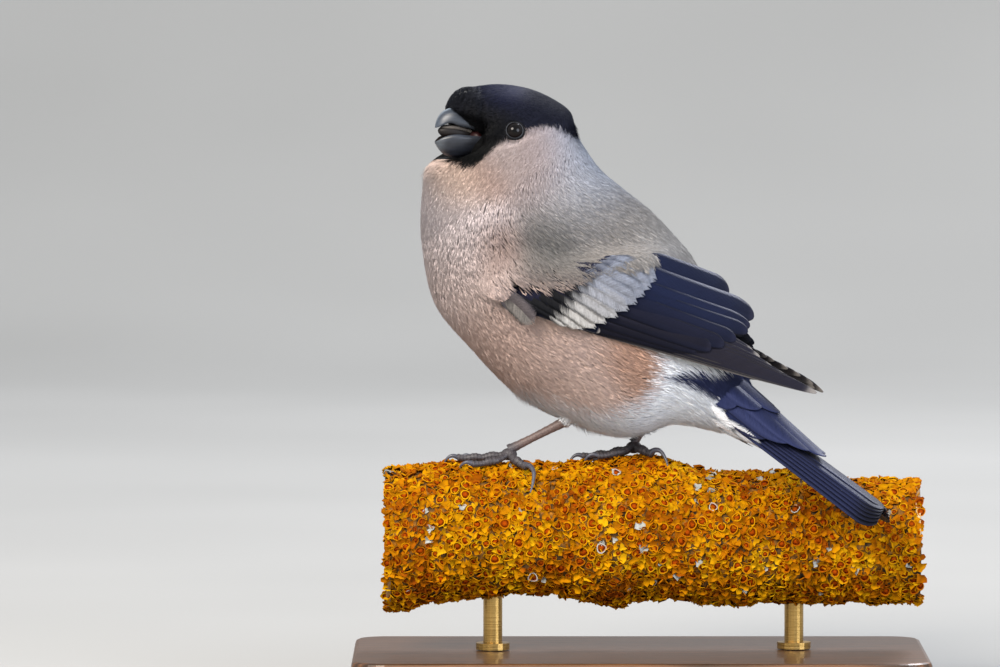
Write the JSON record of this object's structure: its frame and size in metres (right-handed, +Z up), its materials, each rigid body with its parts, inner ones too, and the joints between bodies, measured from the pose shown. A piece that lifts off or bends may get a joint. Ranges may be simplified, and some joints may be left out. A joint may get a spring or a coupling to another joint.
{
  "type": "bullfinch",
  "caption": "Life-size still model of a female bullfinch gripping a cut length of lichen-covered branch on a small display stand.",
  "frame": {"origin": "middle of the underside of the stand's base", "axes": "+Z up; -X is the way the bird's head points; -Y is its left side, which the tail swings towards"},
  "size_m": [0.156, 0.088, 0.1641],
  "materials": {
    "cap_plumage": "glossy black feathers",
    "body_plumage": "soft buff and grey feathers",
    "wing_plumage": "blue-black glossy feathers with a pale bar",
    "bill_horn": "dark slate horn",
    "tongue": "moist pale flesh",
    "eye": "wet near-black",
    "leg_skin": "scaled dull brown skin",
    "lichen_bark": "bark under orange crust lichen",
    "stand_wood": "dark satin walnut",
    "stand_brass": "satin"
  },
  "bodies": {
    "root": {"head": "cap_plumage", "neck": "body_plumage", "torso": "body_plumage", "wing_left": "wing_plumage", "wing_right": "wing_plumage", "tail": "wing_plumage", "thigh_left": "body_plumage", "thigh_right": "body_plumage", "tarsus_left": "leg_skin", "tarsus_right": "leg_skin", "foot_left": "leg_skin", "foot_right": "leg_skin", "bill_upper": "bill_horn", "bill_lower": "bill_horn", "tongue": "tongue", "eye_left": "eye", "eye_right": "eye", "perch_branch": "lichen_bark", "stand_base": "stand_wood", "stand_rod_1": "stand_brass", "stand_rod_2": "stand_brass"}
  },
  "joints": []
}
